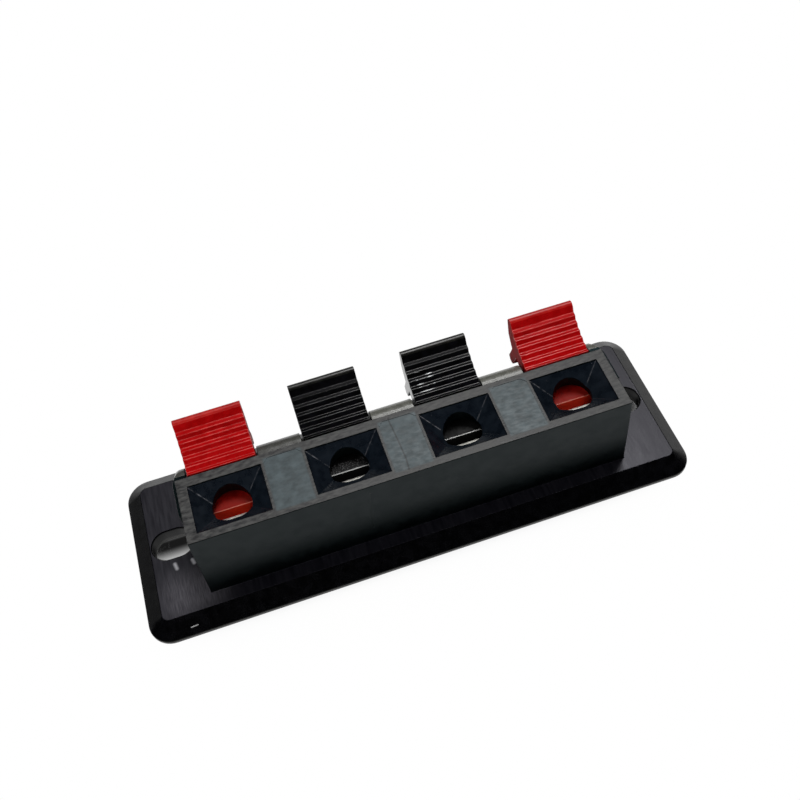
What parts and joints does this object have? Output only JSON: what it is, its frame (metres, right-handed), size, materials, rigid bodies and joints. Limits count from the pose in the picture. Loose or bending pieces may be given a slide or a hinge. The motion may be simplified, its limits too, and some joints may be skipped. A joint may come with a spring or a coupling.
{
  "type": "speaker terminal plate",
  "caption": "Flush-mount speaker terminal plate: a flanged black block with a row of wire funnels, each with a sprung push lever that clamps a bare wire.",
  "frame": {"origin": "midway between the two screw slots, on the plane of the panel", "axes": "+X along the row of terminals, +Y towards the levers, +Z out of the panel"},
  "size_m": [0.1008, 0.033, 0.0301],
  "materials": {
    "housing_plastic": "satin moulded",
    "cover_plastic": "satin moulded",
    "lever_red": "gloss",
    "lever_black": "gloss",
    "contact_metal": "tin plated",
    "spring_steel": "drawn wire"
  },
  "bodies": {
    "base": {"housing": "housing_plastic", "back_cover": "cover_plastic", "contact_1": "contact_metal", "contact_2": "contact_metal", "contact_3": "contact_metal", "contact_4": "contact_metal", "spring_1": "spring_steel", "spring_2": "spring_steel", "spring_3": "spring_steel", "spring_4": "spring_steel"},
    "lever_1": {"lever_1": "lever_red"},
    "lever_2": {"lever_2": "lever_black"},
    "lever_3": {"lever_3": "lever_black"},
    "lever_4": {"lever_4": "lever_red"}
  },
  "joints": [
    {"name": "lever_1_press", "type": "hinge", "parent": "base", "child": "lever_1", "pos_m": [-0.03, -0.0015, 0.0055], "axis": [-1, 0, 0], "range_deg": [0, 20], "stiffness_Nm_per_rad": 0.02, "springref_deg": -45.84, "deforming": ["spring_1"]},
    {"name": "lever_2_press", "type": "hinge", "parent": "base", "child": "lever_2", "pos_m": [-0.01, -0.0015, 0.0055], "axis": [-1, 0, 0], "range_deg": [0, 20], "stiffness_Nm_per_rad": 0.02, "springref_deg": -45.84, "deforming": ["spring_2"]},
    {"name": "lever_3_press", "type": "hinge", "parent": "base", "child": "lever_3", "pos_m": [0.01, -0.0015, 0.0055], "axis": [-1, 0, 0], "range_deg": [0, 20], "stiffness_Nm_per_rad": 0.02, "springref_deg": -45.84, "deforming": ["spring_3"]},
    {"name": "lever_4_press", "type": "hinge", "parent": "base", "child": "lever_4", "pos_m": [0.03, -0.0015, 0.0055], "axis": [-1, 0, 0], "range_deg": [0, 20], "stiffness_Nm_per_rad": 0.02, "springref_deg": -45.84, "deforming": ["spring_4"]}
  ]
}
